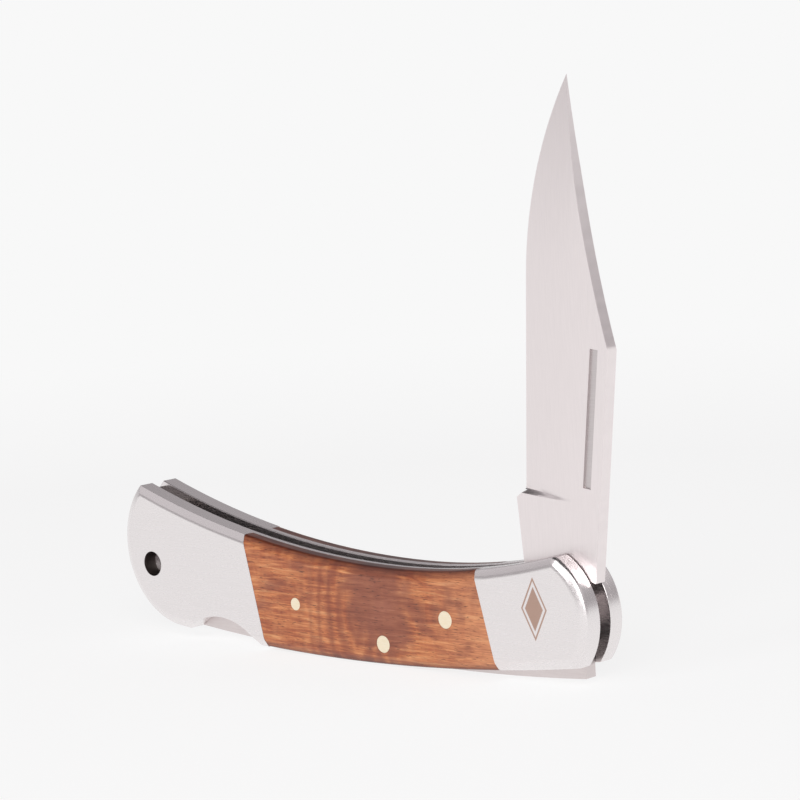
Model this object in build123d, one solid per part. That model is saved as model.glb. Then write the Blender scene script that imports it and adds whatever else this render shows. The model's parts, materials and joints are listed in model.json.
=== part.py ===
from build123d import *
import os
from math import acos, cos, degrees, radians, sin, sqrt

# A folding lock-back pocket knife with a clip-point blade, half open and standing on its back.
# Millimetres. It is drawn with the blade's pivot at the origin, +X towards the nose, +Z towards
# the side that the blade folds into, and Y through the thickness, with the right side at -Y.
# place_on_floor() then moves all of it to the frame's origin, under the middle of its box.

# ---- Driving sizes ----------------------------------------------------------------------------

# Blade, measured from the pivot: along it, and across it with the cutting edge at + and the
# spine at -, as it lies when open with its edge up.
blade_length = 91.7
blade_thickness = 2.4
belly_length = 34.7
edge_height = 6.9
heel_along = 20.0
heel_height = 6.4
tip_height = -1.6
spine_height = -12.1
clip_length = 45.5
clip_sag = 1.3
spine_slope = 2.7
kick_along = 18.6
kick_height = 7.6
kick_slope = 9.2
choil_depth = 0.5
tang_radius = 6.5
grind_height = -2.6
plunge_along = 20.3
edge_thickness = 0.4
tip_taper_length = 18.0
tip_thickness = 0.5
nail_slot_length = 24.0
nail_slot_width = 1.7
nail_slot_depth = 0.4
nail_slot_below_spine = 3.0

# Angles of the blade above +X
rest_angle = 85.0
open_angle = 9.0
closed_angle = 177.2

# Handle profile
nose_centre = Vector(-1.3, -1.1)
nose_radius = 12.7
nose_top_angle = 62.0
nose_top_fillet = 2.0
back_radius = 400.0
back_low = Vector(-46.0, -12.8)
saddle_low = Vector(-33.0, 5.1)
butt_radius = 15.4
beak_angle = 132.2
spacer_depth = 11.3
spacer_recess = 1.0
tip_clearance = 1.7

# Thickness of each layer on one side, from the blade slot outwards
liner_thickness = 1.1
scale_thickness = 2.9
edge_chamfer_across = 0.8
edge_chamfer_in = 1.5

# Seams between wood and bolsters: the rear one from the butt, the front one from the pivot
rear_seam_from_butt = 35.15
rear_seam_lean = 12.3
front_seam_along = -12.05
front_seam_lean = 14.1

# Thumb notch and lanyard hole, from the butt's end
notch_from_butt = 25.4
notch_radius = 14.0
notch_depth = 3.9
lanyard_radius = 2.4
lanyard_from_butt = 7.8
lanyard_height = 1.4

# Lock: tooth, seat and bar
lock_face_along = 7.6
tooth_rear_along = 3.6
tooth_top = -3.15
tooth_rake = 0.3
relief_end = -10.0
kick_land_front = -14.0
bar_arm_thickness = 3.0
rocker_at = Vector(-36.3, -8.8)
rocker_boss_wall = 1.3
thumb_pad_from_butt = 32.6
thumb_pad_depth = 4.2
bar_end_from_butt = 16.1
spacer_foot_height = 4.0

# Leaf spring
spring_thickness = 0.8
spring_width = 2.2
spring_seat_depth = 3.2
spring_seat_rise = 1.95
spring_reach = 24.5
spring_bend_radius = 6.0

# Pins
pivot_pin_radius = 2.0
rocker_pin_radius = 1.6
front_pin_radius = 1.6
front_pin_at = Vector(-20.8, -3.0)
rear_pin_radius = 1.2
rear_pin_from_seam = 11.26
rear_pin_height = -3.3
rivet_radius = 1.0
rivet_cover = 1.0
spacer_pin_radius = 1.0
washer_radius = 5.0
washer_thickness = 0.15

# Fits
blade_side_play = 0.05
bar_side_play = 0.1
pivot_play = 0.05
rocker_play = 0.04
lock_play = 0.1
relief_play = 0.15
ride_play = 0.08
kick_play = 0.08
bar_end_gap = 0.5
spring_gap = 0.05
spring_seat_play = 0.02

# ---- Worked-out sizes -------------------------------------------------------------------------

blade_half = blade_thickness / 2
slot_half = blade_half + washer_thickness + blade_side_play
bar_half = slot_half - bar_side_play
liner_face = slot_half + liner_thickness
side_face = liner_face + scale_thickness

spacer_face = -blade_length * cos(radians(180 - closed_angle)) - tip_clearance
butt_end = spacer_face - spacer_depth
back_centre = back_low + Vector(0, back_radius)
pivot = Vector(0, 0)


def polar(radius, angle):
    return Vector(radius * cos(radians(angle)), radius * sin(radians(angle)))


def circle_low(centre, radius, along):
    """Height of a circle's lower side at a place along the knife."""
    return centre.Y - sqrt(radius**2 - (along - centre.X) ** 2)


def circles_meet(centre_a, radius_a, centre_b, radius_b):
    """The point where two circles cross that lies to the left, looking from a to b."""
    span = centre_b - centre_a
    reach = (span.length**2 + radius_a**2 - radius_b**2) / (2 * span.length)
    side = sqrt(radius_a**2 - reach**2)
    ahead = span.normalized()
    return centre_a + ahead * reach + Vector(-ahead.Y, ahead.X) * side


def turned(point, angle, centre=pivot):
    return centre + (point - centre).rotate(Axis.Z, angle)


def level_arc_centre(low, end):
    """Centre of the arc that is level at its low point and passes through end."""
    step = end - low
    return low + Vector(0, step.length**2 / (2 * step.Y))


butt_centre_along = butt_end + butt_radius
butt_centre = Vector(
    butt_centre_along,
    circle_low(back_centre, back_radius - butt_radius, butt_centre_along),
)
back_end = back_centre + (butt_centre - back_centre).normalized() * back_radius
beak = butt_centre + polar(butt_radius, beak_angle)
nose_top = nose_centre + polar(nose_radius, nose_top_angle)
nose_corner = circles_meet(nose_centre, nose_radius, back_centre, back_radius)
if nose_corner.X < nose_centre.X:
    nose_corner = circles_meet(back_centre, back_radius, nose_centre, nose_radius)

bar_relief = -tang_radius - relief_play

# The bar lifts about its rocker pin until its tooth's rear corner rides on the tang's round.
tooth_corner = Vector(tooth_rear_along, tooth_top)
rocker_to_tooth = (tooth_corner - rocker_at).length
rocker_to_pivot = rocker_at.length
ride_radius = tang_radius + ride_play
ride_squares = rocker_to_tooth**2 + rocker_to_pivot**2 - ride_radius**2
ride_cosine = ride_squares / (2 * rocker_to_tooth * rocker_to_pivot)
locked_spread = (tooth_corner - rocker_at).get_angle(pivot - rocker_at)
bar_lift = degrees(acos(ride_cosine)) - locked_spread
lifted_back_centre = turned(back_centre, -bar_lift, rocker_at)

# The spring's root stands above the lifted bar's rear end.
bar_end = butt_end + bar_end_from_butt
arm_top_radius = back_radius - bar_arm_thickness
spring_seat_height = circle_low(lifted_back_centre, arm_top_radius, bar_end) + spring_seat_rise

# The closed blade's kick rests on a land on the lifted bar.
kick_rest = turned(Vector(kick_along, kick_height), closed_angle) - Vector(0, kick_play)
kick_land = turned(kick_rest, bar_lift, rocker_at).Y

rear_seam_along = butt_end + rear_seam_from_butt
rear_pin_at = Vector(rear_seam_along + rear_pin_from_seam, rear_pin_height)
lanyard_at = Vector(butt_end + lanyard_from_butt, lanyard_height)
front_rivets = [Vector(-7.0, 4.2), Vector(4.6, -6.4)]
rear_rivets = [butt_centre + Vector(12.4, -0.5), butt_centre + Vector(-1.2, -8.5)]
spacer_pins = [butt_centre + Vector(-9.6, 4.2), butt_centre + Vector(-8.0, -10.4)]

# ---- Shapes in the knife's plane ---------------------------------------------------------------


def arc(centre, start, end):
    """The shorter arc about a centre from start to end."""
    outwards = ((start + end) * 0.5 - centre).normalized()
    return ThreePointArc(start, centre + outwards * (start - centre).length, end)


def area(*edges):
    return Face(Wire(edges))


def polygon(*points):
    return area(*Polyline(*points, close=True).edges())


def disc(centre, radius):
    return Pos(centre.X, centre.Y) * Circle(radius)


def box_area(low, high):
    """Rectangle between two corners."""
    return polygon(low, Vector(high.X, low.Y), high, Vector(low.X, high.Y))


def plate(shape, low, high):
    """Solid of a shape in X and Z, from y = low to y = high."""
    return extrude(Plane.XZ.offset(-high) * shape, amount=high - low, dir=(0, -1, 0))


def rod(centre, radius, low, high):
    return plate(disc(centre, radius), low, high)


def on_side(side, inner, outer):
    """Low and high y of a layer on the right (-1) or left (+1) side."""
    return (inner, outer) if side > 0 else (-outer, -inner)


def handle_profile():
    """Outline that liners, scales and bolsters share."""
    outline = area(
        arc(back_centre, nose_corner, back_end),
        arc(butt_centre, back_end, beak),
        arc(level_arc_centre(saddle_low, beak), beak, saddle_low),
        arc(level_arc_centre(saddle_low, nose_top), saddle_low, nose_top),
        arc(nose_centre, nose_top, nose_corner),
    )
    top_corner = outline.vertices().sort_by_distance(nose_top)[0]
    return fillet(top_corner, nose_top_fillet)


def thumb_notch():
    along = butt_end + notch_from_butt
    top = circle_low(back_centre, back_radius, along) + notch_depth
    return disc(Vector(along, top - notch_radius), notch_radius)


def behind_line(along, lean):
    """Everything behind a seam that leans forward by an angle towards the back."""
    reach = 200.0
    half = 60.0
    shift = half * sin(radians(lean))
    top = Vector(along - shift, half)
    bottom = Vector(along + shift, -half)
    return polygon(top, bottom, Vector(along - reach, -half), Vector(along - reach, half))


# ---- Handle -------------------------------------------------------------------------------------


def cover(side):
    """Scale and bolsters of one side before they are parted, with the outer edge chamfered."""
    low, high = on_side(side, liner_face, side_face)
    whole = plate(handle_profile(), low, high)
    outer = whole.faces().sort_by(Axis.Y)[-1 if side > 0 else 0]
    return chamfer(outer.edges(), edge_chamfer_in, edge_chamfer_across, reference=outer)


def side_holes(side, low, high):
    """Holes of the pins that show on the outside, and of the lanyard."""
    cuts = rod(pivot, pivot_pin_radius, low, high)
    cuts += rod(rocker_at, rocker_pin_radius, low, high)
    cuts += rod(front_pin_at, front_pin_radius, low, high)
    cuts += rod(rear_pin_at, rear_pin_radius, low, high)
    cuts += rod(lanyard_at, lanyard_radius, low, high)
    return cuts


def rivets(places, side):
    """Blind rivets that hold a bolster to its liner, under an unbroken outer face."""
    low, high = on_side(side, slot_half, side_face - rivet_cover)
    return [rod(place, rivet_radius, low, high) for place in places]


def liner(side):
    low, high = on_side(side, slot_half, liner_face)
    sheet = plate(handle_profile() - thumb_notch(), low, high)
    sheet -= side_holes(side, low, high)
    for place in spacer_pins:
        sheet -= rod(place, spacer_pin_radius, low, high)
    for solid in rivets(front_rivets + rear_rivets, side):
        sheet -= solid
    return sheet


def rear_bolster(side):
    low, high = on_side(side, liner_face, side_face)
    piece = cover(side) & plate(behind_line(rear_seam_along, rear_seam_lean), low, high)
    piece -= plate(thumb_notch(), low, high)
    piece -= side_holes(side, low, high)
    for solid in rivets(rear_rivets, side):
        piece -= solid
    return piece


def front_bolster(side):
    low, high = on_side(side, liner_face, side_face)
    piece = cover(side) - plate(behind_line(front_seam_along, front_seam_lean), low, high)
    piece -= side_holes(side, low, high)
    for solid in rivets(front_rivets, side):
        piece -= solid
    return piece


def wood_scale(side):
    low, high = on_side(side, liner_face, side_face)
    piece = cover(side) & plate(behind_line(front_seam_along, front_seam_lean), low, high)
    piece -= plate(behind_line(rear_seam_along, rear_seam_lean), low, high)
    return piece - side_holes(side, low, high)


def back_spacer():
    """Fills the slot at the butt, holds the spring's root and carries the lanyard's pull."""
    corner = Vector(butt_end - 1, -40)
    recessed = handle_profile() & (Pos(0, -spacer_recess) * handle_profile())
    block = recessed & box_area(corner, Vector(spacer_face, 40))
    foot_end = bar_end - bar_end_gap
    foot_top = circle_low(back_centre, back_radius, spacer_face) + spacer_foot_height
    foot = handle_profile() & box_area(corner, Vector(foot_end, foot_top))
    spacer = plate(block + foot - thumb_notch(), -slot_half, slot_half)
    seat_half = spring_thickness / 2 + spring_seat_play
    seat_low = Vector(spacer_face - spring_seat_depth, spring_seat_height - seat_half)
    seat_high = Vector(spacer_face, spring_seat_height + seat_half)
    spacer -= plate(box_area(seat_low, seat_high), -slot_half, slot_half)
    spacer -= rod(lanyard_at, lanyard_radius, -slot_half, slot_half)
    for place in spacer_pins:
        spacer -= rod(place, spacer_pin_radius, -slot_half, slot_half)
    return spacer


# ---- Blade --------------------------------------------------------------------------------------


def blade_profile():
    """Blade with its edge up and its tip towards +X, before its lock seat is cut."""
    tip = Vector(blade_length, tip_height)
    belly_start = Vector(blade_length - belly_length, edge_height)
    heel = Vector(heel_along, heel_height)
    choil = Vector(heel_along, heel_height - choil_depth)
    kick = Vector(kick_along, kick_height)
    clip_corner = Vector(blade_length - clip_length, spine_height)
    tang_side = lock_face_along / 2
    kick_foot = kick - Vector(1, sin(radians(kick_slope))) * (kick_along - tang_side)
    spine_drop = (clip_corner.X - tang_side) * sin(radians(spine_slope))
    spine_foot = Vector(tang_side, spine_height + spine_drop)
    body = area(
        Line(spine_foot, clip_corner),
        SagittaArc(clip_corner, tip, clip_sag),
        TangentArc(belly_start, tip, tangent=belly_start - heel),
        Line(belly_start, heel),
        Line(heel, choil),
        Line(choil, kick),
        Line(kick, kick_foot),
        Line(kick_foot, spine_foot),
    )
    return body + disc(pivot, tang_radius)


def lock_seat():
    """Space for the bar's tooth in the tang, as it lies with the blade open."""
    low = Vector(tooth_rear_along - lock_play, nose_corner.Y - 10)
    high = Vector(lock_face_along, tooth_top + lock_play)
    return box_area(low, high)


def bevel_cut():
    """Wedge that thins the blade's left side from the grind line to the edge."""
    fall = (blade_half - edge_thickness / 2) / (edge_height - grind_height)
    far = edge_height + 1
    far_half = blade_half - fall * (far - grind_height)
    wedge = polygon(
        Vector(blade_half, grind_height),
        Vector(far_half, far),
        Vector(blade_half + 1, far),
        Vector(blade_half + 1, grind_height),
    )
    return extrude(Plane.YZ.offset(plunge_along) * wedge, amount=blade_length, dir=(1, 0, 0))


def tip_cut():
    """Wedge that thins the blade's left side towards its tip."""
    start = blade_length - tip_taper_length
    wedge = polygon(
        Vector(start, blade_half),
        Vector(blade_length, tip_thickness / 2),
        Vector(blade_length, blade_half),
    )
    return extrude(Plane.XY.offset(-20) * wedge, amount=40, dir=(0, 0, 1))


def nail_slot():
    """Slot for the thumb nail, in line with the spine, on the right side."""
    slope = -spine_slope
    end = Vector(blade_length - clip_length, spine_height + nail_slot_below_spine)
    shape = Rectangle(nail_slot_length, nail_slot_width, align=(Align.MAX, Align.CENTER))
    return plate(Pos(end.X, end.Y) * Rot(0, 0, slope) * shape, -blade_half, -blade_half + nail_slot_depth)


def blade():
    outline = blade_profile() - Rot(0, 0, -open_angle) * lock_seat()
    body = plate(outline, -blade_half, blade_half)
    body -= rod(pivot, pivot_pin_radius + pivot_play, -blade_half, blade_half)
    for cut in (bevel_cut(), tip_cut()):
        body -= cut
        body -= mirror(cut, about=Plane.XZ)
    body -= nail_slot()
    return Rot(0, -rest_angle, 0) * body


# ---- Lock bar -----------------------------------------------------------------------------------


def bar_area():
    """The bar as it lies when it locks the open blade, flush with the handle's back."""
    front = lock_face_along - lock_play
    inside = disc(back_centre, back_radius)
    below = back_low.Y - 5
    stock = polygon(
        Vector(front - tooth_rake, tooth_top),
        Vector(tooth_rear_along, tooth_top),
        Vector(tooth_rear_along, bar_relief),
        Vector(relief_end, bar_relief),
        Vector(kick_land_front, kick_land),
        Vector(rocker_at.X, kick_land),
        Vector(rocker_at.X, below),
        Vector(front, below),
        Vector(front, nose_corner.Y),
    )
    arm = box_area(Vector(bar_end, below), Vector(rocker_at.X, 0))
    arm -= disc(back_centre, arm_top_radius)
    boss = disc(rocker_at, rocker_pin_radius + rocker_play + rocker_boss_wall)
    return (stock + arm + boss) & inside


def thumb_pad():
    """Pad under the thumb, flush with the handle's back while the bar is lifted."""
    front = butt_end + thumb_pad_from_butt
    column = box_area(Vector(bar_end, back_low.Y - 5), Vector(front, 0))
    rim = disc(back_centre, back_radius) - disc(back_centre, back_radius - thumb_pad_depth)
    return column & rim


def lock_bar():
    bar = plate(bar_area(), -bar_half, bar_half)
    place = Pos(rocker_at.X, 0, rocker_at.Y)
    bar = place * Rot(0, bar_lift, 0) * place.inverse() * bar
    bar += plate(thumb_pad(), -bar_half, bar_half)
    return bar - rod(rocker_at, rocker_pin_radius + rocker_play, -bar_half, bar_half)


def lock_spring():
    """Leaf spring from the spacer's seat to the top of the bar's rear arm."""
    seat = Vector(spacer_face - spring_seat_depth, spring_seat_height)
    bend = Vector(spacer_face + spring_bend_radius / 4, spring_seat_height)
    touch_along = bar_end + spring_reach
    arm_top = circle_low(lifted_back_centre, arm_top_radius, touch_along)
    touch = Vector(touch_along, arm_top + spring_gap + spring_thickness / 2)
    leaf = trace(FilletPolyline(seat, bend, touch, radius=spring_bend_radius), spring_thickness)
    return plate(leaf, -spring_width / 2, spring_width / 2)


# ---- Pins and washers -----------------------------------------------------------------------------


def washer(side):
    low, high = on_side(side, slot_half - washer_thickness, slot_half)
    ring = disc(pivot, washer_radius) - disc(pivot, pivot_pin_radius)
    return plate(ring, low, high)


def side_pin(place, radius, side):
    """Pin that holds a scale to its liner and stops short of the blade's slot."""
    low, high = on_side(side, slot_half, side_face)
    return rod(place, radius, low, high)


# ---- All pieces -----------------------------------------------------------------------------------


def make_pieces():
    pieces = {
        "blade": blade(),
        "lock_bar": lock_bar(),
        "lock_spring": lock_spring(),
        "back_spacer": back_spacer(),
        "blade_pivot_pin": rod(pivot, pivot_pin_radius, -side_face, side_face),
        "rocker_pin": rod(rocker_at, rocker_pin_radius, -side_face, side_face),
        "spacer_pins": Compound(
            [rod(place, spacer_pin_radius, -liner_face, liner_face) for place in spacer_pins]
        ),
    }
    for name, side in (("right", -1), ("left", 1)):
        pieces[f"liner_{name}"] = liner(side)
        pieces[f"front_bolster_{name}"] = front_bolster(side)
        pieces[f"wood_scale_{name}"] = wood_scale(side)
        pieces[f"rear_bolster_{name}"] = rear_bolster(side)
        pieces[f"pivot_washer_{name}"] = washer(side)
        pieces[f"front_scale_pin_{name}"] = side_pin(front_pin_at, front_pin_radius, side)
        pieces[f"rear_scale_pin_{name}"] = side_pin(rear_pin_at, rear_pin_radius, side)
        pieces[f"front_bolster_rivets_{name}"] = Compound(rivets(front_rivets, side))
        pieces[f"rear_bolster_rivets_{name}"] = Compound(rivets(rear_rivets, side))
    return pieces


def place_on_floor(pieces):
    """Move the knife so that the origin is on the floor under the middle of its box."""
    box = Compound(list(pieces.values())).bounding_box()
    middle = Pos(-(box.min.X + box.max.X) / 2, 0, -box.min.Z)
    print("pivot at", tuple(middle.position))
    return {name: middle * piece for name, piece in pieces.items()}


os.makedirs("parts", exist_ok=True)
for name, piece in place_on_floor(make_pieces()).items():
    export_step(piece, f"parts/{name}.step")
    print(name, "written")
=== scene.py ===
# %% [markdown]
# A folding lock-back knife stands on its back with the blade half open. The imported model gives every
# piece its place, its size and its movement. Here each visible piece gets the soft edges and the finish
# of the real one. Lengths are in metres, and MM turns a size in millimetres into metres.

# %% Load the frame
import json
import math

import bmesh
import bpy
from mathutils import Matrix, Vector


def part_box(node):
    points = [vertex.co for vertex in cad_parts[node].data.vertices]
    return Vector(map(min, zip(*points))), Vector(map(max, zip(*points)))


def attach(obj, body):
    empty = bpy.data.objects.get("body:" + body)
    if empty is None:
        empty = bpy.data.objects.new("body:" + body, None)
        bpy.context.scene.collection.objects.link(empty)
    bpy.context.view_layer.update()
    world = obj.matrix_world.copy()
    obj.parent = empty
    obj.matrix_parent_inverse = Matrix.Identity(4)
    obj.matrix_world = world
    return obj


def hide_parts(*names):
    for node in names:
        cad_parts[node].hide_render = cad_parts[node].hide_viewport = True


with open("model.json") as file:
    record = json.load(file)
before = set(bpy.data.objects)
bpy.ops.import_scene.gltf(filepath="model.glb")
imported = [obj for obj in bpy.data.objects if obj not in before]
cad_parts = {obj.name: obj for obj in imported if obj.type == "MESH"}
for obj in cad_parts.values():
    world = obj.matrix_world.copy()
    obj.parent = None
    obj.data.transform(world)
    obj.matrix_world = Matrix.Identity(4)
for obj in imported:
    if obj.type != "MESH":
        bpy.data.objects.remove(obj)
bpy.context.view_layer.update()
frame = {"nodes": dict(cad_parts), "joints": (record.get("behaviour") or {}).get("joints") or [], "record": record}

MM = 0.001
SIDES = ("right", "left")
joints = {joint["name"]: joint for joint in frame["joints"]}
pivot = Vector(joints["blade_fold"]["pos_m"])
side_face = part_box("front_bolster_left")[1].y
liner_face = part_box("front_bolster_left")[0].y
slot_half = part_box("liner_left")[0].y
body_of = {node: body for body, nodes in frame["record"]["behaviour"]["bodies"].items() for node in nodes}
print("pieces in the frame:", len(frame["nodes"]), "pivot:", tuple(round(v, 4) for v in pivot))

# %% [markdown]
# Blender's operators act on whatever is selected, so each step starts from a clean selection. A CAD
# node's shape is never changed. A copy of it is welded into one skin, and its flat triangles are joined into
# whole faces, which gives clean edges to round off.

# %% Helpers for shaping
same_point = 0.002 * MM
flat_within = math.radians(0.4)
plain_smoothing = 30
print("points closer than", round(same_point / MM, 4), "mm are welded")


def pick(piece):
    bpy.ops.object.select_all(action="DESELECT")
    piece.select_set(True)
    bpy.context.view_layer.objects.active = piece


def apply_modifier(piece, kind, **settings):
    pick(piece)
    bpy.ops.object.modifier_add(type=kind)
    modifier = piece.modifiers[-1]
    for name, value in settings.items():
        setattr(modifier, name, value)
    bpy.ops.object.modifier_apply(modifier=modifier.name)


def welded_copy(node, material):
    """A copy of a CAD node as one skin of whole faces, ready to shape."""
    pick(frame["nodes"][node])
    bpy.ops.object.duplicate()
    piece = bpy.context.object
    piece.parent = None
    piece.matrix_world = Matrix.Identity(4)
    for key in list(piece.keys()):
        del piece[key]
    piece.name = piece.data.name = "finished_" + node
    piece.data.materials.clear()
    piece.data.materials.append(material)
    bpy.ops.mesh.customdata_custom_splitnormals_clear()
    bpy.ops.object.mode_set(mode="EDIT")
    bpy.ops.mesh.select_all(action="SELECT")
    bpy.ops.mesh.remove_doubles(threshold=same_point)
    bpy.ops.mesh.dissolve_limited(angle_limit=flat_within)
    bpy.ops.object.mode_set(mode="OBJECT")
    return piece


def fold(edge):
    """Angle between the two faces of an edge, in degrees."""
    return math.degrees(edge.calc_face_angle(0))


def within(edge, low, high):
    """True if both ends of an edge lie that far from the knife's middle plane."""
    return all(low - same_point <= abs(vertex.co.y) <= high + same_point for vertex in edge.verts)


def round_edges(piece, width, segments, wanted):
    """Bevel the edges for which wanted(edge) is true."""
    pick(piece)
    bpy.ops.object.mode_set(mode="EDIT")
    bpy.ops.mesh.select_mode(type="EDGE")
    bpy.ops.mesh.select_all(action="DESELECT")
    mesh = bmesh.from_edit_mesh(piece.data)
    chosen = [edge for edge in mesh.edges if len(edge.link_faces) == 2 and wanted(edge)]
    for edge in chosen:
        edge.select_set(True)
    bmesh.update_edit_mesh(piece.data)
    if chosen:
        bpy.ops.mesh.bevel(offset=width, segments=segments, affect="EDGES", clamp_overlap=True, profile=0.5)
    bpy.ops.object.mode_set(mode="OBJECT")
    print(piece.name, "edges rounded:", len(chosen), "by", round(width / MM, 2), "mm")


def smooth(piece, angle=plain_smoothing):
    """Smooth shading that keeps the flats flat."""
    pick(piece)
    bpy.ops.object.shade_smooth_by_angle(angle=math.radians(angle))
    apply_modifier(piece, "WEIGHTED_NORMAL", keep_sharp=True)


def place(piece, node):
    """Put a finished piece on its body, in the place of the CAD node."""
    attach(piece, body_of[node])
    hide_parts(node)
    print(piece.name, "has", len(piece.data.polygons), "faces")


# %% [markdown]
# A face with holes in it rounds badly, because thin bridges join the holes to its rim. So the small
# holes are filled while the edges are rounded, and the same holes are cut again afterwards.

# %% Helpers for holes
overshoot = 0.5 * MM
small_hole = 5.5 * MM
wall_lean = 0.1
print("holes are filled up to", round(small_hole / MM, 1), "mm across")


def touching(first, pool):
    """All faces of a pool that hang together with the first one."""
    patch = [first]
    for face in patch:
        near = {other for edge in face.edges for other in edge.link_faces} & pool
        pool -= near
        patch += near
    return patch


def span(values):
    return max(values) - min(values)


def fill_holes(piece, widest=small_hole):
    """Close the holes up to a width, and return each one's outline, depth and open ends."""
    mesh = bmesh.new()
    mesh.from_mesh(piece.data)
    walls = {face for face in mesh.faces if abs(face.normal.y) < wall_lean}
    holes = []
    while walls:
        first = walls.pop()
        rim = {vertex for face in touching(first, walls) for vertex in face.verts}
        centre = sum((vertex.co for vertex in rim), Vector()) / len(rim)
        is_outside = (first.calc_center_median() - centre).dot(first.normal) > 0
        if is_outside or max(span([v.co.x for v in rim]), span([v.co.z for v in rim])) > widest:
            continue
        inside = [face for face in mesh.faces if rim.issuperset(face.verts)]
        depths = [vertex.co.y for vertex in rim]
        bmesh.ops.delete(mesh, geom=inside, context="FACES")
        open_edges = [edge for edge in mesh.edges if len(edge.link_faces) == 1]
        caps = bmesh.ops.holes_fill(mesh, edges=open_edges)["faces"]
        outline = [(vertex.co.x, vertex.co.z) for vertex in caps[0].verts]
        ends = {round(cap.calc_center_median().y, 6) for cap in caps}
        low = min(depths) - (overshoot if round(min(depths), 6) in ends else 0)
        high = max(depths) + (overshoot if round(max(depths), 6) in ends else 0)
        holes.append((outline, low, high))
    bmesh.ops.dissolve_limit(mesh, angle_limit=flat_within, verts=mesh.verts, edges=mesh.edges)
    bmesh.ops.recalc_face_normals(mesh, faces=mesh.faces)
    mesh.to_mesh(piece.data)
    mesh.free()
    return holes


def cut_holes(piece, holes, material=None):
    """Cut the holes out again, with the walls in a material of their own if one is given."""
    mesh = bmesh.new()
    for outline, low, high in holes:
        floor = mesh.faces.new([mesh.verts.new((x, low, z)) for x, z in outline])
        walls = bmesh.ops.extrude_face_region(mesh, geom=[floor])["geom"]
        top = [item for item in walls if isinstance(item, bmesh.types.BMVert)]
        bmesh.ops.translate(mesh, verts=top, vec=(0, high - low, 0))
    bmesh.ops.recalc_face_normals(mesh, faces=mesh.faces)
    data = bpy.data.meshes.new("cutter")
    mesh.to_mesh(data)
    mesh.free()
    data.materials.append(material or piece.data.materials[0])
    cutter = bpy.data.objects.new("cutter", data)
    bpy.context.scene.collection.objects.link(cutter)
    settings = {"operation": "DIFFERENCE", "solver": "EXACT", "material_mode": "TRANSFER"}
    apply_modifier(piece, "BOOLEAN", object=cutter, **settings)
    bpy.data.objects.remove(cutter)
    print(piece.name, "holes cut:", len(holes))


def middle_of(hole):
    """Place of a hole's middle in the knife's plane."""
    outline = hole[0]
    return Vector((sum(x for x, z in outline), 0, sum(z for x, z in outline))) / len(outline)


# %% [markdown]
# A material is a small graph of nodes. One function adds a node with its settings and its links, so
# that each material below reads as a list of steps. Colours are written as the hex values that a
# paint chart gives and are turned into the linear values that light is counted in. A Map Range node
# takes its value, the range it comes from and the range it goes to, in that order. A noise stays
# mostly in its middle range, so that is the range it usually comes from. A Mix node of colours has its
# share in input 0, its two colours in inputs 6 and 7, and the mixed colour in output 2.

# %% Helpers for materials
noise_middle = (0.3, 0.7)


def linear(code):
    """Linear colour of an sRGB hex value such as b96b4b."""
    channels = [int(code[i : i + 2], 16) / 255 for i in (0, 2, 4)]
    return [c / 12.92 if c <= 0.04045 else ((c + 0.055) / 1.055) ** 2.4 for c in channels] + [1.0]


def connect(tree, node, inputs):
    """Fill inputs, by name or in order, with values, sockets, or nodes for their first output."""
    for name, value in inputs.items() if isinstance(inputs, dict) else enumerate(inputs):
        if isinstance(value, bpy.types.Node):
            value = value.outputs[0]
        if isinstance(value, bpy.types.NodeSocket):
            tree.links.new(value, node.inputs[name])
        else:
            node.inputs[name].default_value = value
    return node


def add(tree, kind, inputs=(), **settings):
    """Add a node with its settings and its inputs."""
    node = tree.nodes.new(kind)
    for name, value in settings.items():
        setattr(node, name, value)
    return connect(tree, node, inputs)


def empty_tree(owner):
    """The node tree of a material or a world, with nothing in it."""
    owner.use_nodes = True
    owner.node_tree.nodes.clear()
    return owner.node_tree


def new_material(name, **shader_values):
    """A material with one Principled shader, and its node tree."""
    material = bpy.data.materials.new(name)
    tree = empty_tree(material)
    shader = add(tree, "ShaderNodeBsdfPrincipled", shader_values)
    add(tree, "ShaderNodeOutputMaterial", {"Surface": shader})
    return material, tree, shader


def stretched(tree, length, width, turn=0.0):
    """Coordinates for a pattern of marks of that length along the knife and that width."""
    scale = (1 / length, 1 / width, 1 / width)
    where = add(tree, "ShaderNodeTexCoord").outputs["Object"]
    inputs = {"Vector": where, "Rotation": (0, turn, 0), "Scale": scale}
    return add(tree, "ShaderNodeMapping", inputs)


def set_stops(node, stops):
    """Give a colour ramp its (position, hex colour) stops."""
    elements = node.color_ramp.elements
    while len(elements) < len(stops):
        elements.new(0.5)
    for element, (place_on_ramp, code) in zip(elements, stops):
        element.position = place_on_ramp
        element.color = linear(code)
    return node


print("b96b4b in linear light:", [round(channel, 3) for channel in linear("b96b4b")[:3]])

# %% [markdown]
# Steel with a satin finish, from a fine belt. The belt leaves hair-thin lines along its travel, which
# spread the reflections across them, so the flats look evenly bright. The real lines are a few
# hundredths of a millimetre apart. They are drawn as coarse as they need to show. Very faint clouds
# keep a wide flat from looking printed.

# %% Steels
belt_cloud = (22 * MM, 14 * MM)
belt_cloud_share = 0.35
smoothest = -0.02
roughest = 0.03


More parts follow.
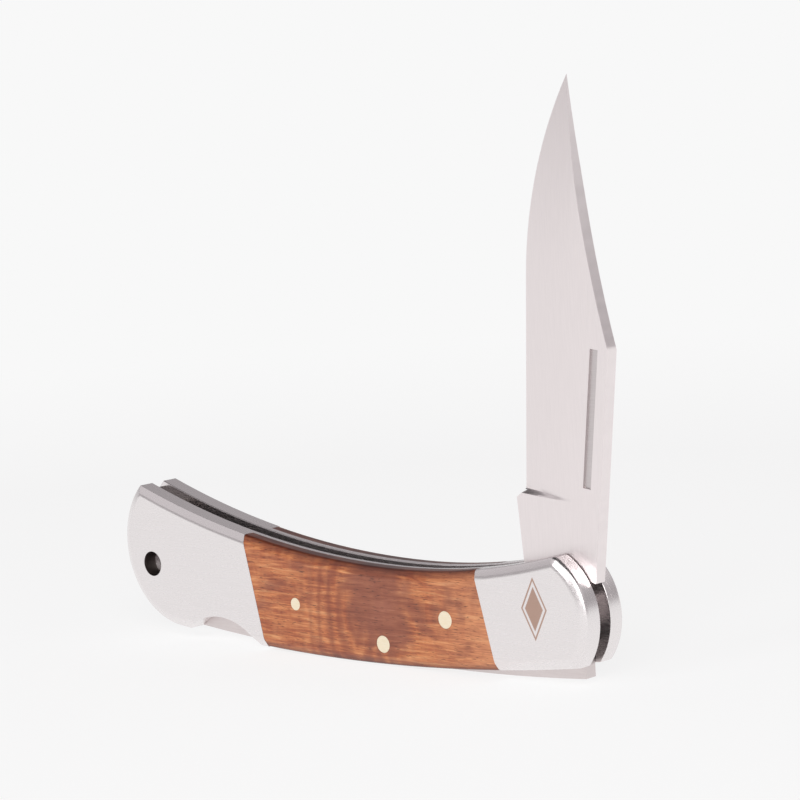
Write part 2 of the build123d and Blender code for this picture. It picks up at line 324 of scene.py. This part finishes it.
def satin_steel(name, code, darker, roughness, line_length, line_width, depth):
    """A metal with fine lines, and its node tree and shader for what is added to it."""
    material, tree, shader = new_material(name, Metallic=1.0)
    line_space = stretched(tree, line_length, line_width)
    lines = add(tree, "ShaderNodeTexNoise", {"Vector": line_space, "Scale": 1.0, "Detail": 3.0})
    cloud_space = stretched(tree, *belt_cloud)
    cloud = add(tree, "ShaderNodeTexNoise", {"Vector": cloud_space, "Scale": 1.0, "Detail": 1.0})
    line_share = add(tree, "ShaderNodeMapRange", (lines, *noise_middle, 0.0, 1.0))
    cloud_share = add(tree, "ShaderNodeMapRange", (cloud, *noise_middle, 0.0, belt_cloud_share))
    tone = linear(darker)
    for share in (line_share, cloud_share):
        mixed = {0: share, 6: tone, 7: linear(code)}
        tone = add(tree, "ShaderNodeMix", mixed, data_type="RGBA").outputs[2]
    rough_range = (lines, *noise_middle, roughness + smoothest, roughness + roughest)
    rough = add(tree, "ShaderNodeMapRange", rough_range)
    bump = add(tree, "ShaderNodeBump", {"Height": lines, "Strength": 1.0, "Distance": depth})
    connect(tree, shader, {"Base Color": tone, "Roughness": rough, "Normal": bump})
    return material, tree, shader


bolster_finish = {
    "code": "eee9e9",
    "darker": "eae5e5",
    "roughness": 0.26,
    "line_length": 5 * MM,
    "line_width": 0.25 * MM,
    "depth": 0.00004 * MM,
}

# Stainless, lines along the standing blade: an even, pale sheet with a wide and soft gleam.
blade_satin = satin_steel("stainless_blade_satin", "f2eaea", "ede5e5", 0.34, 0.3 * MM, 5 * MM, 0.0002 * MM)[0]
# Stainless, the smoothest of the steels: it mirrors the floor and the ceiling softly.
bolster_satin = satin_steel("stainless_bolster_satin", **bolster_finish)[0]
# Stainless as drawn, for rivets and spacer pins, which stay hidden: a duller grey.
liner_sheet = satin_steel("stainless_liner_sheet", "b3adad", "a8a2a2", 0.3, 5 * MM, 0.2 * MM, 0.0003 * MM)[0]
# Spring steel, hardened and ground: a little warmer and darker than the stainless.
bar_ground = satin_steel("spring_steel_ground", "ddd4d3", "d6cccb", 0.3, 4 * MM, 0.2 * MM, 0.0003 * MM)[0]
# Stainless, milled, with a dark colour that is painted shade: a dark band down in the slot, between the bright
# liners.
spacer_shade_look = ("8f8886", "847d7b", 0.38, 3 * MM, 0.3 * MM, 0.001 * MM)
spacer_painted_shade = satin_steel("stainless_spacer_painted_shade", *spacer_shade_look)[0]
# Stainless, milled: a rougher finish, and a darker colour that is painted shade in the groove, so that the nail
# slot reads as a matt groove in the satin blade.
slot_shade_look = ("d6cfcf", "cac3c3", 0.4, 3 * MM, 0.2 * MM, 0.0004 * MM)
milled_slot_shaded = satin_steel("stainless_milled_slot_painted_shade", *slot_shade_look)[0]
# Stainless, drilled, with painted shade: a dark wall, so that a hole reads as deep.
hole_shade_look = ("8a817e", "7c7370", 0.3, 3 * MM, 0.2 * MM, 0.0004 * MM)
hole_wall_shaded = satin_steel("stainless_hole_painted_shade", *hole_shade_look)[0]
# Spring steel, tempered: a bluish-grey oxide.
leaf_look = ("77737a", "6c6870", 0.36, 4 * MM, 0.2 * MM, 0.0003 * MM)
leaf_tempered = satin_steel("spring_steel_tempered", *leaf_look)[0]
steels = (blade_satin, bolster_satin, liner_sheet, bar_ground)
steels += (spacer_painted_shade, milled_slot_shaded, hole_wall_shaded, leaf_tempered)
print("steels:", ", ".join(steel.name for steel in steels))

# %% [markdown]
# The right front bolster carries a plain lozenge, burned in by a laser. Such a mark has no depth: it is
# a thin brown oxide, duller than the steel. So it is a mask in the material, from the distance to the
# lozenge's middle: a solid lozenge, a gap and a thin line round it. Only the outer face has it.

# %% Laser-marked steel
mark_middle = pivot + Vector((0.1 * MM, 0, 0.7 * MM))
mark_half_width = 2.9 * MM
mark_half_height = 5.6 * MM
mark_colour = "c3a698"
mark_roughness = 0.3
mark_skin = 0.1 * MM
solid_end = 0.68
gap_end = 0.86
line_end = 0.98
mark_blur = 0.03


def marked_steel():
    material, tree, shader = satin_steel("stainless_bolster_laser_marked", **bolster_finish)
    steel_colour = shader.inputs["Base Color"].links[0].from_socket
    steel_roughness = shader.inputs["Roughness"].links[0].from_socket
    where = add(tree, "ShaderNodeTexCoord").outputs["Object"]
    middle_at = (mark_middle.x, 0, mark_middle.z)
    offset = add(tree, "ShaderNodeVectorMath", (where, middle_at), operation="SUBTRACT")
    sizes = (mark_half_width, 1.0, mark_half_height)
    shares = add(tree, "ShaderNodeVectorMath", (offset, sizes), operation="DIVIDE")
    plain = add(tree, "ShaderNodeVectorMath", (shares,), operation="ABSOLUTE")
    axes = add(tree, "ShaderNodeSeparateXYZ", (plain,)).outputs
    reach = add(tree, "ShaderNodeMath", (axes["X"], axes["Z"]), operation="ADD")
    solid = add(tree, "ShaderNodeMapRange", (reach, solid_end, solid_end + mark_blur, 1.0, 0.0))
    outer = add(tree, "ShaderNodeMapRange", (reach, line_end, line_end + mark_blur, 1.0, 0.0))
    gap = add(tree, "ShaderNodeMapRange", (reach, gap_end, gap_end + mark_blur, 0.0, 1.0))
    line = add(tree, "ShaderNodeMath", (outer, gap), operation="MULTIPLY")
    both = add(tree, "ShaderNodeMath", (line, solid), operation="MAXIMUM")
    height = add(tree, "ShaderNodeSeparateXYZ", (where,)).outputs["Y"]
    outside = add(tree, "ShaderNodeMath", (height, -side_face + mark_skin), operation="LESS_THAN")
    mask = add(tree, "ShaderNodeMath", (both, outside), operation="MULTIPLY")
    rough = add(tree, "ShaderNodeMapRange", (mask, 0.0, 1.0, 0.0, mark_roughness))
    total = add(tree, "ShaderNodeMath", (steel_roughness, rough), operation="ADD")
    mixed = {0: mask, 6: steel_colour, 7: linear(mark_colour)}
    colour = add(tree, "ShaderNodeMix", mixed, data_type="RGBA").outputs[2]
    connect(tree, shader, {"Base Color": colour, "Roughness": total})
    return material


bolster_marked = marked_steel()
print("mark:", round(2 * mark_half_width / MM, 1), "by", round(2 * mark_half_height / MM, 1), "mm")

# %% [markdown]
# Brass for the pins and a thin bronze for the washers. The pins were sanded flush with the wood, so
# their ends are clean and bright with fine scratches.

# %% Brass and bronze
# Brass, sanded: a pale yellow dot with a broad gleam.
brass_look = ("fff3dc", "f8e6c4", 0.3, 1.5 * MM, 0.15 * MM, 0.001 * MM)
brass_sanded = satin_steel("brass_sanded", *brass_look)[0]
# Bronze sheet: browner than the brass, and dull in the slot.
bronze_look = ("c39a62", "b08a56", 0.35, 2 * MM, 0.2 * MM, 0.001 * MM)
bronze_sheet = satin_steel("bronze_sheet", *bronze_look)[0]
print("pins:", brass_sanded.name, "washers:", bronze_sheet.name)

# %% [markdown]
# The scales are a reddish-brown tropical hardwood, sanded fine, oiled and buffed. The eye reads a dark
# heart in the middle, growth rings towards the back, and paler sapwood towards the front. Over those lie
# streaks along the grain, short open pores as dark dashes, and faint ripples across the grain where
# the fibres wave. The slanted edges are darkened with painted shade.

# %% Oiled hardwood
heart_middle = pivot + Vector((-37.0 * MM, 0, -1.5 * MM))
heart_size = Vector((7.5 * MM, 1.0, 9.5 * MM))
ring_middle = pivot + Vector((-43.0 * MM, 0, -6.0 * MM))
ring_spacing = Vector((2.6 * MM, 1.0, 5.5 * MM))
rings_fade = (3.0, 6.5)
one_wave = 0.314
sapwood_start = pivot.x - 26 * MM
sapwood_end = pivot.x - 11 * MM
# Painted shade on the wood's slanted edges, from this distance outwards to the flat side.
edge_shade_start = side_face - 0.8 * MM
edge_shade_end = side_face - 0.1 * MM
oil_ior = 1.5
grain_depth = 0.004 * MM
streak_stops = ((0.32, "873f28"), (0.45, "b4633c"), (0.56, "d2824f"), (0.68, "eaa671"))

# Marks in the wood: length along the grain, width across it, and turn from the knife's line, then
# the noise's detail, roughness and distortion.
wood_marks = {
    "clouds": (13 * MM, 10 * MM, 0.5, 2.0, 0.5, 1.2),
    "streaks": (11 * MM, 0.9 * MM, 0.06, 5.0, 0.65, 0.5),
    "fine": (3.5 * MM, 0.17 * MM, 0.06, 3.0, 0.5, 0.0),
    "pores": (1.6 * MM, 0.14 * MM, 0.06, 1.0, 0.5, 0.0),
    "ripple": (1.5 * MM, 5 * MM, -0.25, 2.0, 0.5, 0.8),
}


def around(tree, middle, sizes):
    """Coordinates in the knife's plane, counted from a middle in steps of the sizes."""
    where = add(tree, "ShaderNodeTexCoord").outputs["Object"]
    offset = add(tree, "ShaderNodeVectorMath", (where, middle), operation="SUBTRACT")
    flat = add(tree, "ShaderNodeVectorMath", (offset, (1, 0, 1)), operation="MULTIPLY")
    return add(tree, "ShaderNodeVectorMath", (flat, sizes), operation="DIVIDE")


def wood_noises(tree):
    noises = {}
    for name, (length, width, turn, detail, roughness, distortion) in wood_marks.items():
        inputs = {"Vector": stretched(tree, length, width, turn), "Scale": 1.0}
        inputs |= {"Detail": detail, "Roughness": roughness, "Distortion": distortion}
        noises[name] = add(tree, "ShaderNodeTexNoise", inputs)
    return noises


def growth_rings(tree):
    """Share of the rings' dark lines, which fade away from their middle."""
    space = around(tree, ring_middle, ring_spacing)
    waves = {"Vector": space, "Scale": one_wave, "Distortion": 5.0, "Detail": 3.0, "Detail Scale": 1.6}
    rings = add(tree, "ShaderNodeTexWave", waves, wave_type="RINGS", rings_direction="Y").outputs["Fac"]
    far = add(tree, "ShaderNodeVectorMath", (space,), operation="LENGTH").outputs["Value"]
    fade = add(tree, "ShaderNodeMapRange", (far, *rings_fade, 0.6, 0.0))
    return add(tree, "ShaderNodeMath", (rings, fade), operation="MULTIPLY")


def heart_reach(tree, noises):
    """Distance from the heart's middle, as a share of its size, with a wandering, ragged rim."""
    space = around(tree, heart_middle, heart_size)
    reach = add(tree, "ShaderNodeVectorMath", (space,), operation="LENGTH").outputs["Value"]
    wander = add(tree, "ShaderNodeMapRange", (noises["clouds"], *noise_middle, -0.35, 0.35))
    ragged = add(tree, "ShaderNodeMapRange", (noises["streaks"], *noise_middle, -0.12, 0.12))
    uneven = add(tree, "ShaderNodeMath", (wander, ragged), operation="ADD")
    return add(tree, "ShaderNodeMath", (reach, uneven), operation="ADD")


def oiled_hardwood():
    material, tree, shader = new_material("rosewood_oiled", IOR=oil_ior)
    noises = wood_noises(tree)
    where = add(tree, "ShaderNodeTexCoord").outputs["Object"]
    axes = add(tree, "ShaderNodeSeparateXYZ", (where,)).outputs
    outwards = add(tree, "ShaderNodeMath", (axes["Y"],), operation="ABSOLUTE")
    ranges = {
        "ripple": (noises["ripple"], 0.42, 0.68, 0.0, 0.16),
        "sapwood": (axes["X"], sapwood_start, sapwood_end, 0.0, 0.5),
        "heart_streaks": (noises["streaks"], *noise_middle, 0.0, 1.0),
        "clouds": (noises["clouds"], 0.5, 0.66, 0.0, 0.7),
        "heart": (heart_reach(tree, noises), 0.7, 1.15, 0.85, 0.0),
        "fine": (noises["fine"], 0.35, 0.7, 0.0, 0.45),
        "pores": (noises["pores"], 0.64, 0.72, 0.0, 0.7),
        "painted_edge_shade": (outwards, edge_shade_start, edge_shade_end, 1.0, 0.0),
        "roughness": (noises["streaks"], *noise_middle, 0.4, 0.3),
    }
    share = {name: add(tree, "ShaderNodeMapRange", inputs) for name, inputs in ranges.items()}
    share["rings"] = growth_rings(tree)
    mixed = {0: share["heart_streaks"], 6: linear("78402f"), 7: linear("a3624c")}
    heart = add(tree, "ShaderNodeMix", mixed, data_type="RGBA").outputs[2]
    coats = {
        "ripple": linear("eaaa74"),
        "sapwood": linear("e2a075"),
        "rings": linear("854231"),
        "clouds": heart,
        "heart": heart,
        "fine": linear("7e3f28"),
        "pores": linear("43201a"),
        "painted_edge_shade": linear("93746c"),
    }
    colour = set_stops(add(tree, "ShaderNodeValToRGB", (noises["streaks"],)), streak_stops)
    for name, coat in coats.items():
        blend = "MULTIPLY" if name == "painted_edge_shade" else "MIX"
        mixed = {0: share[name], 6: colour, 7: coat}
        colour = add(tree, "ShaderNodeMix", mixed, data_type="RGBA", blend_type=blend).outputs[2]
    grain = {"Height": noises["fine"], "Strength": 1.0, "Distance": grain_depth}
    bump = add(tree, "ShaderNodeBump", grain)
    connect(tree, shader, {"Base Color": colour, "Roughness": share["roughness"], "Normal": bump})
    return material


rosewood = oiled_hardwood()
print("wood:", len(rosewood.node_tree.nodes), "nodes; marks:", ", ".join(wood_marks))

# %% [markdown]
# Each side of the handle is a liner with a front bolster, a wooden scale and a rear bolster on it.
# They were ground together as one, so the same soft shoulder runs from the flat side over the slanted
# edge to the rim. Where two pieces meet, their corners are only just broken. The pivot pin's ends were
# ground off with the bolsters and can't be seen, so the bolsters stay closed over it.

# %% Handle sides
shoulder_round = 0.45 * MM
rim_round = 0.45 * MM
seam_break = 0.11 * MM
pivot_reach = 3 * MM
rim_low = liner_face + 0.5 * MM
rim_high = side_face - 0.3 * MM
shoulder_folds = (15, 45)
rim_folds = (45, 75)
sharp_fold = 60
handle_smoothing = 24


def is_shoulder(edge):
    return within(edge, side_face, side_face) and shoulder_folds[0] < fold(edge) < shoulder_folds[1]


def is_rim(edge):
    return within(edge, rim_low, rim_high) and rim_folds[0] < fold(edge) < rim_folds[1]


def is_seam(edge):
    return fold(edge) > sharp_fold and not within(edge, 0, liner_face)


def handle_side(node, material):
    piece = welded_copy(node, material)
    holes = fill_holes(piece)
    round_edges(piece, shoulder_round, 5, is_shoulder)
    round_edges(piece, rim_round, 4, is_rim)
    round_edges(piece, seam_break, 2, is_seam)
    open_holes = [hole for hole in holes if (middle_of(hole) - pivot).length > pivot_reach]
    # Holes in the bolsters get walls darkened with painted shade.
    cut_holes(piece, open_holes, None if material is rosewood else hole_wall_shaded)
    smooth(piece, handle_smoothing)
    place(piece, node)


for side in SIDES:
    handle_side("front_bolster_" + side, bolster_marked if side == "right" else bolster_satin)
    handle_side("rear_bolster_" + side, bolster_satin)
    handle_side("wood_scale_" + side, rosewood)

# %% [markdown]
# The liners end flush with the bolsters and the wood. Only their edges along the slot are broken, so
# that no groove opens between a liner and what lies on it.

# %% Liners
slot_break = 0.15 * MM


def is_slot_edge(edge):
    return within(edge, slot_half, slot_half) and fold(edge) > sharp_fold


for side in SIDES:
    liner = welded_copy("liner_" + side, bolster_satin)
    liner_holes = fill_holes(liner)
    round_edges(liner, slot_break, 3, is_slot_edge)
    cut_holes(liner, liner_holes)
    smooth(liner)
    place(liner, "liner_" + side)

# %% [markdown]
# The blade was stamped from sheet and ground thinner towards its edge, along the belly as well, so it
# also gets thinner towards its tip. The grind ends in a short plunge by the heel. A modeller would
# cut the sides into a grid and pull it in. Here each point of that grid gets its thickness from its
# distance to the cutting edge, which is what a grinding belt does. The nail slot is cut after that.

# %% Blade
grid_step = 1.2 * MM
plunge_step = 0.25 * MM
heel_along = 20.0 * MM
plunge_start = 19.2 * MM
plunge_length = 1.0 * MM
grind_width = 9.5 * MM
grind_softness = 0.25
edge_half = 0.05 * MM
blade_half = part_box("blade")[1].y
blade_break = 0.07 * MM
grid_reach = 14 * MM
same_corner = 0.01 * MM
widest_slot = 30 * MM
on_line = 0.002
faces_edge = 0.2


def steps(start, end, step):
    count = int((end - start) / step)
    return [start + step * (i + 0.5) for i in range(count)]


def is_side(face):
    return abs(face.normal.y) > 0.5


def cut_into_grid(mesh, cuts):
    """Cut the two sides along lines, and join what the lines leave into one face for each cell."""
    sides = [face for face in mesh.faces if is_side(face)]
    bmesh.ops.triangulate(mesh, faces=sides)
    for direction, at in cuts:
        sides = [face for face in mesh.faces if is_side(face)]
        parts = {item for face in sides for item in (*face.verts, *face.edges)}
        place_of_cut = pivot + direction * at
        bmesh.ops.bisect_plane(mesh, geom=[*parts, *sides], plane_co=place_of_cut, plane_no=direction)
    directions = {direction.to_tuple(6): direction for direction, at in cuts}.values()
    slanting = []
    for edge in mesh.edges:
        line = (edge.verts[1].co - edge.verts[0].co).normalized()
        on_grid = any(abs(line.dot(direction)) < on_line for direction in directions)
        if not on_grid and all(is_side(face) for face in edge.link_faces):
            slanting.append(edge)
    bmesh.ops.dissolve_edges(mesh, edges=slanting, use_verts=True)


def grind_share(share):
    """Share of the full thickness, at a share of the grind's width, with a soft end to the grind."""
    if share < 1 - grind_softness:
        return share
    if share > 1 + grind_softness:
        return 1.0
    return share - (share - 1 + grind_softness) ** 2 / (4 * grind_softness)


def distance_to(point, lines):
    """Distance in the knife's plane from a point to the nearest of the lines."""
    nearest = grind_width * 2
    for start, end in lines:
        share = (point - start).dot(end - start) / (end - start).length_squared
        nearest = min(nearest, (start.lerp(end, min(max(share, 0), 1)) - point).length)
    return nearest


def grind(piece):
    tip = max(piece.data.vertices, key=lambda vertex: vertex.co.z).co
    along = (Vector((tip.x, 0, tip.z)) - pivot).normalized()
    across = along.cross(Vector((0, 1, 0)))
    for vertex in piece.data.vertices:
        vertex.co.y = math.copysign(blade_half, vertex.co.y)
    mesh = bmesh.new()
    mesh.from_mesh(piece.data)
    bmesh.ops.remove_doubles(mesh, verts=mesh.verts, dist=same_corner)
    bmesh.ops.dissolve_limit(mesh, angle_limit=flat_within, verts=mesh.verts, edges=mesh.edges)
    cuts = [(along, at) for at in steps(plunge_start + plunge_length, (tip - pivot).length, grid_step)]
    cuts += [(along, at) for at in steps(plunge_start, plunge_start + plunge_length, plunge_step)]
    cuts += [(across, at) for at in steps(-grid_reach, grid_reach, grid_step)]
    cut_into_grid(mesh, cuts)
    toward_edge = across if across.x < 0 else -across
    edge_lines = []
    for face in mesh.faces:
        is_wall = abs(face.normal.y) < 0.5 and face.normal.dot(toward_edge) > faces_edge
        if is_wall and (face.calc_center_median() - pivot).dot(along) > heel_along:
            for edge in face.edges:
                if all(vertex.co.y > 0 for vertex in edge.verts):
                    edge_lines.append([Vector((vertex.co.x, 0, vertex.co.z)) for vertex in edge.verts])
    for vertex in mesh.verts:
        flat = Vector((vertex.co.x, 0, vertex.co.z))
        into_plunge = min(max(((flat - pivot).dot(along) - plunge_start) / plunge_length, 0), 1)
        share = grind_share(distance_to(flat, edge_lines) / grind_width)
        ground = edge_half + (blade_half - edge_half) * share
        blend = into_plunge * into_plunge * (3 - 2 * into_plunge)
        vertex.co.y = math.copysign(blade_half + (ground - blade_half) * blend, vertex.co.y)
    mesh.to_mesh(piece.data)
    mesh.free()
    print(piece.name, "edge lines:", len(edge_lines), "points:", len(piece.data.vertices))


def is_thick(edge):
    return fold(edge) > 40 and all(abs(vertex.co.y) > blade_half / 3 for vertex in edge.verts)


blade = welded_copy("blade", blade_satin)
blade_holes = fill_holes(blade, widest=widest_slot)
grind(blade)
round_edges(blade, blade_break, 2, is_thick)
# The slot's walls get the milled steel, whose darker colour is painted shade.
cut_holes(blade, blade_holes, milled_slot_shaded)
smooth(blade)
place(blade, "blade")

# %% [markdown]
# The lock bar rocks on the brass pin near the back. With the blade half open its tooth rides on the
# round of the tang, so its front end stands out below the bolsters. The bar was hardened and then
# ground. Its front end between the bolsters is painted dark and rough, as painted shade.

# %% Lock bar and spacer
unshaded_below = 3.4 * MM
shaded_above = 4.4 * MM


def half_shaded_steel():
    """Painted shade, dark and rough, higher up, which gives way to ground steel lower down."""
    sizes = (1 * MM, 0.6 * MM, 0.002 * MM)
    material, tree, shader = satin_steel("spring_steel_painted_shade", "77706f", "6b6463", 0.42, *sizes)
    shade_colour = shader.inputs["Base Color"].links[0].from_socket
    where = add(tree, "ShaderNodeTexCoord").outputs["Object"]
    height = add(tree, "ShaderNodeSeparateXYZ", (where,)).outputs["Z"]
    bright = add(tree, "ShaderNodeMapRange", (height, unshaded_below, shaded_above, 1.0, 0.0))
    mixed = {0: bright, 6: shade_colour, 7: linear("ddd4d3")}
    colour = add(tree, "ShaderNodeMix", mixed, data_type="RGBA").outputs[2]
    connect(tree, shader, {"Base Color": colour})
    return material


bar_shaded = half_shaded_steel()


def finish_plain(node, material, width, segments=2):
    piece = welded_copy(node, material)
    holes = fill_holes(piece)
    round_edges(piece, width, segments, lambda edge: fold(edge) > 30)
    if holes:
        cut_holes(piece, holes)
    smooth(piece)
    place(piece, node)
    return piece


def paint_front_shade(piece):
    """Paint shade on the bar's front end, which lies in shade between the bolsters."""
    piece.data.materials.append(bar_shaded)
    ends = [face for face in piece.data.polygons if face.center.x > pivot.x and face.normal.x > 0.5]
    for face in ends:
        face.material_index = 1
    print("faces left with scale:", len(ends))


# The bar's front end gets painted shade: dark higher up, ground steel lower down.
paint_front_shade(finish_plain("lock_bar", bar_ground, 0.15 * MM, 3))
# The back spacer's dark colour is painted shade for the slot between the liners.
finish_plain("back_spacer", spacer_painted_shade, 0.06 * MM)

# %% [markdown]
# The brass pins get a broken rim, which draws the thin dark line round each of them. The pivot pin is
# cut off inside the bolsters. The pieces that stay hidden keep the frame's own meshes, with a finish.

# %% Pins, washers and spring
pin_break = 0.1 * MM
finish_plain("rocker_pin", brass_sanded, pin_break)
for side in SIDES:
    finish_plain("front_scale_pin_" + side, brass_sanded, pin_break)
    finish_plain("rear_scale_pin_" + side, brass_sanded, pin_break)

pivot_pin = welded_copy("blade_pivot_pin", bolster_satin)
for vertex in pivot_pin.data.vertices:
    vertex.co.y *= liner_face / side_face
round_edges(pivot_pin, pin_break, 2, lambda edge: fold(edge) > 30)
smooth(pivot_pin)
place(pivot_pin, "blade_pivot_pin")

kept_nodes = {"lock_spring": leaf_tempered, "spacer_pins": liner_sheet}
for side in SIDES:
    kept_nodes["pivot_washer_" + side] = bronze_sheet
    kept_nodes["front_bolster_rivets_" + side] = liner_sheet
    kept_nodes["rear_bolster_rivets_" + side] = liner_sheet
for node, material in kept_nodes.items():
    mesh = frame["nodes"][node].data
    mesh.materials.clear()
    mesh.materials.append(material)
print("kept from the frame:", sorted(kept_nodes))

# %% [markdown]
# A pale floor that goes on to the horizon. It is lit so brightly that it nearly glows, as a white
# sweep does in a studio, and a faint soft shadow is left where the knife stands.

# %% Floor
floor_radius = 6.0
paper_start = 0.25
paper_end = 0.55
paper_code = "f4f4f4"
paper_share = 0.25
glow_near = 1.145
backdrop_code = "f8f8f8"


def white_sweep():
    """Matt white paper: near the knife it takes a shadow, and further away it only glows."""
    material = bpy.data.materials.new("paper_sweep_white")
    tree = empty_tree(material)
    where = add(tree, "ShaderNodeTexCoord").outputs["Object"]
    reach = add(tree, "ShaderNodeVectorMath", (where,), operation="LENGTH").outputs["Value"]
    strength = add(tree, "ShaderNodeMapRange", (reach, paper_start, paper_end, glow_near, 1.0))
    share = add(tree, "ShaderNodeMapRange", (reach, paper_start, paper_end, paper_share, 0.0))
    glow = add(tree, "ShaderNodeEmission", {"Color": linear(backdrop_code), "Strength": strength})
    paper = add(tree, "ShaderNodeBsdfDiffuse", {"Color": linear(paper_code)})
    both = add(tree, "ShaderNodeMixShader", (share, glow, paper))
    add(tree, "ShaderNodeOutputMaterial", {"Surface": both})
    return material


bpy.ops.mesh.primitive_circle_add(vertices=96, radius=floor_radius, fill_type="NGON", location=(0, 0, 0))
floor = bpy.context.object
floor.name = "floor"
floor.data.materials.append(white_sweep())
print("floor:", floor_radius, "m in radius")

# %% [markdown]
# Light from a white room, and two soft boxes. The steel shows what it reflects, so the flat sides look
# pale, from the bright floor, and the top edges grey, from the greyer walls and the dark ceiling. A
# grey card behind the knife's butt darkens what the bevels reflect. The camera itself sees a plain
# backdrop in place of the room, as pale as the paper.

# %% Light
card_direction = (-0.6, 0.74, 0.33)
card_code = "aaa6a8"
card_share = 0.92
card_edge = (0.84, 0.95)
card_foot = (0.03, 0.09)
wall_stops = (
    (0.0, backdrop_code),
    (0.03, backdrop_code),
    (0.12, "a9a5a7"),
    (0.35, "b0acae"),
    (0.52, "dcd8da"),
    (0.62, "dedadc"),
    (0.76, "343233"),
)


def room():
    world = bpy.data.worlds.new("white_room")
    bpy.context.scene.world = world
    tree = empty_tree(world)
    direction = add(tree, "ShaderNodeTexCoord").outputs["Generated"]
    height = add(tree, "ShaderNodeSeparateXYZ", (direction,)).outputs["Z"]
    walls = set_stops(add(tree, "ShaderNodeValToRGB", (height,)), wall_stops)
    to_card = (direction, Vector(card_direction).normalized())
    nearness = add(tree, "ShaderNodeVectorMath", to_card, operation="DOT_PRODUCT").outputs["Value"]
    above = add(tree, "ShaderNodeMapRange", (height, *card_foot, 0.0, 1.0))
    facing = add(tree, "ShaderNodeMapRange", (nearness, *card_edge, 0.0, card_share))
    covers = add(tree, "ShaderNodeMath", (above, facing), operation="MULTIPLY")
    mixed = {0: covers, 6: walls, 7: linear(card_code)}
    tone = add(tree, "ShaderNodeMix", mixed, data_type="RGBA").outputs[2]
    light = add(tree, "ShaderNodeBackground", {"Color": tone, "Strength": 1.0})
    backdrop = add(tree, "ShaderNodeBackground", {"Color": linear(backdrop_code), "Strength": 1.0})
    straight = add(tree, "ShaderNodeLightPath").outputs["Is Camera Ray"]
    both = add(tree, "ShaderNodeMixShader", (straight, light, backdrop))
    add(tree, "ShaderNodeOutputWorld", {"Surface": both})


def towards(azimuth, elevation):
    """Direction from the knife; azimuth 0 is the right side, turning towards the nose."""
    turn, rise = math.radians(azimuth), math.radians(elevation)
    return Vector((math.sin(turn) * math.cos(rise), -math.cos(turn) * math.cos(rise), math.sin(rise)))


def soft_box(name, azimuth, elevation, distance, width, height, power):
    light = bpy.data.lights.new(name, "AREA")
    light.shape = "RECTANGLE"
    light.size = width
    light.size_y = height
    light.energy = power
    lamp = bpy.data.objects.new(name, light)
    bpy.context.scene.collection.objects.link(lamp)
    way = towards(azimuth, elevation)
    lamp.location = way * distance
    lamp.rotation_euler = way.to_track_quat("Z", "Y").to_euler()
    print(name, "at", azimuth, "degrees round and", elevation, "up:", power, "W")


room()
soft_box("front_box", azimuth=40, elevation=28, distance=0.9, width=0.6, height=0.6, power=3.3)
soft_box("side_box", azimuth=-5, elevation=30, distance=0.9, width=0.28, height=0.25, power=0.8)

# %% [markdown]
# The camera looks from the front right, a little above, with a long lens and a slight tilt.

# %% Camera
view_azimuth = 43.55
view_elevation = 6.87
view_roll = 3.68
view_distance = 0.532
view_target = pivot + Vector((-33.37 * MM, 0, 34.88 * MM))
lens = 134.1
sensor_width = 36
nearest_shown = 0.01


def add_camera():
    data = bpy.data.cameras.new("camera")
    data.lens = lens
    data.sensor_width = sensor_width
    data.clip_start = nearest_shown
    camera = bpy.data.objects.new("camera", data)
    bpy.context.scene.collection.objects.link(camera)
    back = towards(view_azimuth, view_elevation)
    level = Matrix.Rotation(math.radians(view_azimuth), 3, "Z") @ Vector((1, 0, 0))
    up = back.cross(level)
    roll = math.radians(view_roll)
    top = up * math.cos(roll) + level * math.sin(roll)
    right = top.cross(back)
    turned = Matrix((right, top, back)).transposed().to_4x4()
    camera.matrix_world = Matrix.Translation(view_target + back * view_distance) @ turned
    bpy.context.scene.camera = camera


add_camera()
bpy.context.scene.view_settings.view_transform = "Standard"
print("camera:", view_distance, "m from the knife, with a lens of", lens, "mm")
